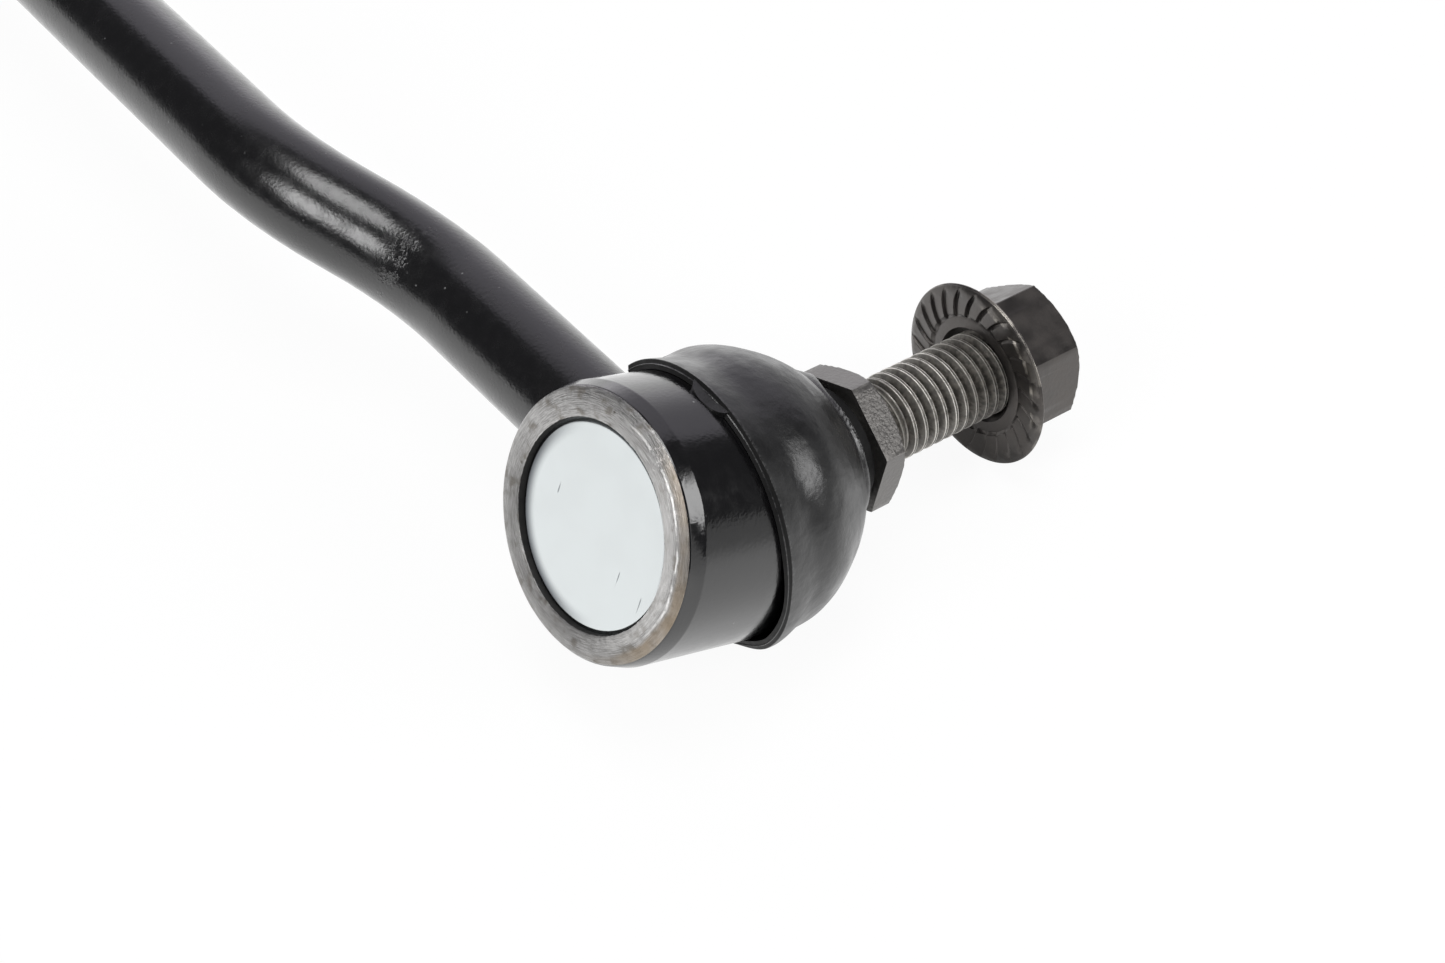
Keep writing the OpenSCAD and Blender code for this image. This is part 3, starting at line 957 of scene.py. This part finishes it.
def make_nut(end):
    """A hexagon on a round flange, with swept teeth on its bearing face and a rolled rim."""
    axis = end.stud
    nut_to = NUT_FROM + NUT_HIGH
    floor = FLANGE_FRONT + TOOTH_HIGH
    bore = THREAD_R + NUT_CLEAR
    columns = [(i + share, high) for i in range(TEETH) for share, high in TOOTH]
    turn = [TOOTH_TURN + tau * place / TEETH for place, _ in columns]
    highs = [high for _, high in columns]
    rubbed = [band(RUBBED_ARC, wrapped(t)) for t in turn]
    shell = Shell()

    def plain(radius, along, wear=0.0):
        return shell.ring([axis.at(radius, along, t) for t in turn], wear)

    rings = [
        plain(bore, nut_to - NUT_CHAMFER[1]),
        plain(bore, floor + NUT_SINK[1]),
        plain(bore + NUT_SINK[0], floor - NUT_RING_HIGH),
        plain(TOOTH_IN - NUT_RING_GAP, floor - NUT_RING_HIGH),
    ]
    roll_r = FLANGE_R - FLANGE_ROLL
    roll_at = FLANGE_FRONT + CROWN_FALL + FLANGE_ROLL
    for row in range(TOOTH_ROWS + 1):
        share = row / TOOTH_ROWS
        radius = mixed(TOOTH_IN, roll_r, share)
        past = radius - CROWN_FROM
        crown = FLANGE_FRONT + CROWN_FALL * (max(past, 0.0) / (FLANGE_R - CROWN_FROM)) ** 2
        deep = mixed(TOOTH_HIGH, TOOTH_EDGE_HIGH, ease(*TOOTH_FADE, radius))
        sweep = TOOTH_SWEEP * share**TOOTH_CURVE
        points = []
        for t, high in zip(turn, highs):
            risen = ease(0.0, TOOTH_RISE, share - TOOTH_DELAY * (1 - high))
            along = FLANGE_FRONT + deep * (1 - high * risen)
            points.append(axis.at(radius, max(along, crown), t + sweep))
        edge = EDGE_WEAR * ease(0.0, EDGE_WEAR_IN, past)
        wear = max(ease(*BAND_WEAR_HALF, abs(past - BAND_WEAR_AT)), edge)
        rings.append(shell.ring(points, [wear * spot for spot in rubbed]))
    for radius, along in arc((roll_r, roll_at), FLANGE_ROLL, *ROLL_SWEEP, ROLL_ROWS):
        rings.append(plain(radius, along, [mixed(*ROLL_WEAR, spot) for spot in rubbed]))
    for row in range(1, CONE_ROWS + 1):
        along = mixed(roll_at + FLANGE_ROLL, NUT_FROM + FLANGE_CONE, row / CONE_ROWS)
        cone = mixed(roll_r, NUT_APOTHEM, row / CONE_ROWS)
        radii = [max(cone, hexagon(t, NUT_APOTHEM, NUT_TURN)) for t in turn]
        rings.append(shell.ring([axis.at(r, along, t) for r, t in zip(radii, turn)]))
    for down in NUT_ROWS:
        radii = [trimmed(t, NUT_APOTHEM, NUT_TURN, NUT_TRIM, down) for t in turn]
        rings.append(shell.ring([axis.at(r, nut_to - down, t) for r, t in zip(radii, turn)]))
    rings.append(plain(bore + NUT_CHAMFER[0], nut_to))
    shell.loft(rings, closed=True)
    nut = shell.build("flange_nut_" + end.letter + "_black", [NUT], sharp=24)
    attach(nut, "nut_" + end.letter)
    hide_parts("flange_nut_" + end.letter)


# The boot


def bell_radius(angle, along, radius):
    """Distance from the stud's axis to a bell: a sphere about the ball, then a tube along the housing."""
    tilt = sin(STUD_TILT) * sin(angle)
    if abs(along) < radius:
        dome = sqrt(radius**2 - along**2)
        if along * cos(STUD_TILT) - dome * tilt >= 0:
            return dome
    a = 1 - tilt**2
    b = along * cos(STUD_TILT) * tilt
    c = (along * sin(STUD_TILT)) ** 2 - radius**2
    return (sqrt(b * b - a * c) - b) / a


def rim_flare(angle):
    """How far the rim's outside stands out on its lower side."""
    turn = wrapped(angle)
    return RIM_FLARE * ease(*RIM_FLARE_FROM, turn) - RIM_TUCK * band(RIM_TUCK_ARC, turn)


def rim_gap(angle):
    """Gap between the rim's inside and the housing, on its lower side."""
    return RIM_GAP * band(RIM_GAP_ARC, wrapped(angle))


def rim_edge(angle):
    """Place of the rim along the stud, with a notch that clears the rod."""
    notch = ease(NOTCH_AT - NOTCH_SOFT, NOTCH_AT + NOTCH_SOFT, -cos(angle))
    return mixed(RIM_EDGE, NOTCH_TO, notch)


def boot_lip(angle):
    """Radius and place of the edge round the hole, which rides higher at the back."""
    back = ease(*LIP_BACK_HALF, abs(wrapped(angle - BOOT_BACK_AT)))
    return mixed(LIP_NEAR[0], LIP_BACK[0], back), mixed(LIP_NEAR[1], LIP_BACK[1], back)


def lip_groove(angle, share):
    """Depth of the groove under the lip on its near side, at a share of the way up the crown."""
    return LIP_GROOVE * band(LIP_GROOVE_ARC, wrapped(angle)) * band(LIP_GROOVE_UP, share)


def lip_wear_and_glint(angle):
    """Share of the lip's pale flecks at an angle, scuffing with painted glints: most on its upper outboard
    side.
    """
    return mixed(*LIP_WEAR_AND_GLINT, band(LIP_WEAR_AND_GLINT_ARC, wrapped(angle)))


def boot_outside(angle, along):
    """Outside of the boot: a stepped rim, a shallow groove, a bulge, the bell and a cone up to the lip."""
    lean = BOOT_SHIFT * cos(angle - BOOT_BACK_AT) * ease(*BOOT_SHIFT_FROM, along)
    rise = ease(GROOVE_TO, BULGE_AT, along)
    step = (RIM_STEP + rim_flare(angle)) * (1 - ease(RIM_EDGE, RIM_EDGE + RIM_LONG, along))
    bulge = BULGE_HIGH * (rise - ease(BULGE_AT + BULGE_LONG, SEAM_AT, along))
    bell = lean + bell_radius(angle, along, BOOT_R + step + bulge - GROOVE_DEPTH * (1 - rise))
    if along < SEAM_AT:
        return bell
    lip_r, lip_at = boot_lip(angle)
    cone = lip_r + LIP_SLOPE * (lip_at - along)
    return (bell + cone + hypot(bell - cone, LIP_CREASE)) / 2


def boot_inside(angle, along):
    """Inside of the boot, widened at the rim to pass over the housing."""
    low = 1 - ease(RIM_EDGE, RIM_IN_TO, along)
    gap = rim_gap(angle) * (1 - ease(RIM_EDGE, RIM_EDGE + RIM_LONG, along))
    return bell_radius(angle, along, mixed(BOOT_R - BOOT_WALL, RIM_IN_R, low) + gap)


def make_crown(end):
    """The upper half of the boot, which follows the stud."""
    axis = end.stud
    turn = angles(BOOT_COLUMNS)
    shell = Shell()
    rings = []
    for share in UPPER_ROWS:
        points = []
        for t in turn:
            along = mixed(SEAM_AT, boot_lip(t)[1], share)
            points.append(axis.at(boot_outside(t, along) - lip_groove(t, share), along, t))
        rings.append(shell.ring(points, [ease(*LIP_WEAR_AND_GLINT_UP, share) * lip_wear_and_glint(t) for t in turn]))
    for inwards, rise, wear in LIP_STEPS:
        points = []
        for t in turn:
            radius, along = boot_lip(t)
            points.append(axis.at(radius - inwards, along + rise, t))
        rings.append(shell.ring(points, [wear * lip_wear_and_glint(t) for t in turn]))
    for radius, along in NECK_ROWS:
        rings.append(shell.ring([axis.at(radius, along, t) for t in turn]))
    for along in UPPER_INSIDE:
        rings.append(shell.ring([axis.at(boot_inside(t, along), along, t) for t in turn]))
    shell.loft(rings, closed=True)
    return shell.build("boot_" + end.letter + "_crown", [RUBBER], sharp=40)


def make_skirt(end):
    """The lower half of the boot, which stretches between the housing and the crown."""
    axis = end.stud
    turn = angles(BOOT_COLUMNS)
    shell = Shell()
    rings = []
    for row in range(SKIRT_ROWS + 1):
        points = []
        for t in turn:
            along = mixed(SEAM_AT, rim_edge(t), row / SKIRT_ROWS)
            points.append(axis.at(boot_outside(t, along), along, t))
        rings.append(shell.ring(points, wear=RIM_WEAR if row == SKIRT_ROWS else 0.0))
    for share, high, wear in RIM_FACE:
        points = []
        for t in turn:
            along = rim_edge(t) + (RIM_LIP - RIM_EDGE) * share - high
            radius = mixed(boot_outside(t, rim_edge(t)), boot_inside(t, along), share)
            points.append(axis.at(radius, along, t))
        rings.append(shell.ring(points, wear))
    for share in SKIRT_INSIDE:
        points = []
        for t in turn:
            along = mixed(SEAM_AT, rim_edge(t), share)
            points.append(axis.at(boot_inside(t, along), along, t))
        rings.append(shell.ring(points))
    skin, face = range(2)
    slots = [skin] * (SKIRT_ROWS + 1) + [face, skin, skin, face, face] + [skin] * len(SKIRT_INSIDE)
    shell.loft(rings, slots, closed=True)
    return shell.build("boot_" + end.letter + "_skirt", [RUBBER, SHADED_RIM_RUBBER], sharp=40)


def make_tongue(end):
    """A half-round tab of the rim that slopes down to the barrel."""
    axis = end.housing
    shell = Shell()

    def outline(lift, slope):
        points = []
        for i in range(TONGUE_STEPS + 1):
            around = TONGUE_AT + TONGUE_HALF * cos(pi * i / TONGUE_STEPS)
            across = sin(pi * i / TONGUE_STEPS)
            radius = HOUSING_R + lift + slope * (1 - across)
            points.append(axis.at(radius, TONGUE_FROM - TONGUE_LONG * across, around))
        return shell.ring(points)

    layers = [outline(-TONGUE_SUNK, 0.0), outline(TONGUE_EDGE, TONGUE_HIGH - TONGUE_EDGE)]
    shell.loft(layers)
    for layer in layers:
        shell.faces.append(layer)
        shell.slots.append(0)
    tongue = shell.build("boot_" + end.letter + "_tongue", [RUBBER], sharp=40)
    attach(tongue, "link")
    return tongue


def make_boot(end):
    """The rubber bell in two pieces, so that it bends both over the housing and about the neck."""
    crown = make_crown(end)
    skirt = make_skirt(end)
    for piece in (crown, skirt, make_tongue(end)):
        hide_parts("boot_" + end.letter)
    seam = end.stud.at(0, SEAM_AT, 0)
    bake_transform(crown, "boot_" + end.letter, "neck_" + end.letter, seam, end.stud.at(0, LIP_NEAR[1], 0))
    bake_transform(skirt, "link", "boot_" + end.letter, end.stud.at(0, RIM_LIP - RIM_HELD, 0), seam)


def dress_hidden(end):
    """Finishes of the pieces inside, which stay as they are."""
    for node, material in HIDDEN.items():
        slots = frame["nodes"][node + "_" + end.letter].data.materials
        slots.clear()
        slots.append(material)


ENDS = [End("a", 1), End("b", -1)]
make_rod()
for one in ENDS:
    make_housing(one)
    make_plate(one)
    make_stud(one)
    make_nut(one)
    make_boot(one)
    dress_hidden(one)


# The stage: floor, lights and camera. Pairs of angles are the ends of a smooth change

# A pale screen stands in a dim room. Its side is an azimuth and its top an elevation
SCREEN_SIDE = (radians(91), radians(99))
SCREEN_TOP = (radians(58), radians(50))
ROOM = (0.12, 0.12, 0.126)
SCREEN = (0.9, 0.87, 0.96)
# The screen's foot is dim beside the nut and bright behind the rod
FOOT_TOP = (radians(0), radians(28))
FOOT_TURN = (radians(110), radians(150))
FOOT_DIM = (0.55, 0.54, 0.57)
FOOT_BRIGHT = (2.3, 2.25, 2.35)
# Painted light and shade in the floor's glow as the part reflects it, about end A: a painted contact shadow
# close to the part, brighter just beyond it, and behind it dim beside the nut and bright behind the rod.
# Distances are in metres
FLOOR_CLOSE = (0.018, 0.028)
FLOOR_NEAR = 1.5
FLOOR_FADE = (0.06, 0.13)
FLOOR_BEHIND = (radians(-10), radians(40))
FLOOR_TURN = (radians(112), radians(142))
FLOOR_FAR = (0.7, 1.75)
# Painted shadow in the floor's glow under the stud
STUD_SHADE_AT = 34
STUD_SHADE = (0.0135, 0.017)
STUD_SHADE_DIM = 0.3
# Half the floor's width, its drop below the part, and how much of it glows white
FLOOR_HALF = 200.0
FLOOR_DROP = 0.0002
FLOOR_WHITE = 0.94
# Soft boxes: azimuth and elevation, width and height in degrees, radiance and shape
LIGHTS = {
    "overhead": (0, 89, 32, 32, 5.0, "ELLIPSE"),
    "back_right": (38, 31, 27, 30, 6.3, "RECTANGLE"),
    "front_left": (-84, 40, 24, 30, 6.6, "ELLIPSE"),
}
# The camera that was fitted to the photo
CAMERA_AT = (0.30046, -0.12652, 0.23829)
CAMERA_TURN = (41.866, 2.486, 51.724)
CAMERA_LENS = 69.527
CAMERA_SENSOR = 36.0
CAMERA_CLIP = 0.01


def floor_glare(s):
    """Brightness of the floor's glow as the part reflects it, with painted light and shade."""
    off = s.vector("SUBTRACT", s.place, ENDS[0].ball)
    distance = s.vector("LENGTH", off)
    parts = s.split(off)
    azimuth = s.math("ARCTAN2", parts["Y"], parts["X"])
    beside = s.span(azimuth, *FLOOR_TURN, *FLOOR_FAR)
    far = s.times(s.span(distance, *FLOOR_FADE), s.span(azimuth, *FLOOR_BEHIND))
    near = s.span(distance, *FLOOR_CLOSE, 1.0, FLOOR_NEAR)
    spot = s.vector("DISTANCE", s.place, ENDS[0].stud.at(0, STUD_SHADE_AT, 0))
    shade = s.span(spot, *STUD_SHADE, STUD_SHADE_DIM, 1.0)
    return s.times(s.mix(far, near, beside), shade)


def make_floor():
    """A floor that shows white to the camera and in reflections, where its glow carries painted light and
    shade, with a trace of the real shadow.
    """
    data = bpy.data.meshes.new("floor")
    corners = [(-1, -1), (1, -1), (1, 1), (-1, 1)]
    points = [(x * FLOOR_HALF, y * FLOOR_HALF, -FLOOR_DROP) for x, y in corners]
    data.from_pydata(points, [], [(0, 1, 2, 3)])
    floor = bpy.data.objects.new("floor", data)
    bpy.context.scene.collection.objects.link(floor)
    s = Shader("white_floor")
    s.set(Base_Color=(0.9, 0.9, 0.9, 1), Roughness=0.9)
    path = s.node("ShaderNodeLightPath")
    seen = s.math("MAXIMUM", path.outputs["Is Camera Ray"], path.outputs["Is Glossy Ray"])
    seen = s.math("MAXIMUM", seen, path.outputs["Is Transmission Ray"])
    glow = s.node("ShaderNodeEmission")
    # Reflections see the floor glow with painted light and shade
    s.feed(glow.inputs["Strength"], s.mix(path.outputs["Is Glossy Ray"], 1.0, floor_glare(s)))
    both = s.node("ShaderNodeMixShader")
    s.feed(both.inputs["Fac"], s.times(seen, FLOOR_WHITE))
    s.feed(both.inputs[1], s.bsdf.outputs[0])
    s.feed(both.inputs[2], glow.outputs[0])
    s.feed(s.tree.nodes["Material Output"].inputs["Surface"], both.outputs[0])
    data.materials.append(s.material)


def direction(azimuth, elevation):
    a = radians(azimuth)
    e = radians(elevation)
    return Vector((cos(e) * cos(a), cos(e) * sin(a), sin(e)))


def make_light(name, azimuth, elevation, wide, high, radiance, shape):
    """A soft box one metre from end A. wide and high are the angles it fills, in degrees."""
    size = [2 * sin(radians(angle) / 2) for angle in (wide, high)]
    lamp = bpy.data.lights.new(name, "AREA")
    lamp.shape = shape
    lamp.size, lamp.size_y = size
    lamp.energy = radiance * pi * size[0] * size[1]
    light = bpy.data.objects.new(name, lamp)
    towards = direction(azimuth, elevation)
    light.location = ENDS[0].ball + towards
    light.rotation_euler = towards.to_track_quat("Z", "Y").to_euler()
    bpy.context.scene.collection.objects.link(light)


def make_world():
    """A dim room with a pale screen, seen in the black parts, behind the rod."""
    world = bpy.data.worlds.new("studio")
    bpy.context.scene.world = world
    world.use_nodes = True
    sky = Nodes(world.node_tree)
    parts = sky.split(sky.node("ShaderNodeTexCoord").outputs["Generated"])
    azimuth = sky.math("ARCTAN2", parts["Y"], parts["X"])
    elevation = sky.math("ARCSINE", parts["Z"])
    screen = sky.times(sky.span(azimuth, *SCREEN_SIDE), sky.span(elevation, *SCREEN_TOP))
    foot = sky.colour(sky.span(azimuth, *FOOT_TURN), FOOT_DIM, FOOT_BRIGHT)
    pale = sky.colour(sky.span(elevation, *FOOT_TOP), foot, SCREEN)
    sky.feed(sky.tree.nodes["Background"].inputs["Color"], sky.colour(screen, ROOM, pale))


def make_camera():
    """The photo's own view."""
    data = bpy.data.cameras.new("camera")
    data.sensor_width = CAMERA_SENSOR
    data.lens = CAMERA_LENS
    data.clip_start = CAMERA_CLIP
    camera = bpy.data.objects.new("camera", data)
    camera.location = CAMERA_AT
    camera.rotation_euler = Euler([radians(angle) for angle in CAMERA_TURN])
    bpy.context.scene.collection.objects.link(camera)
    bpy.context.scene.camera = camera


make_floor()
for name, settings in LIGHTS.items():
    make_light(name, *settings)
make_world()
make_camera()
bpy.context.scene.view_settings.view_transform = "Standard"
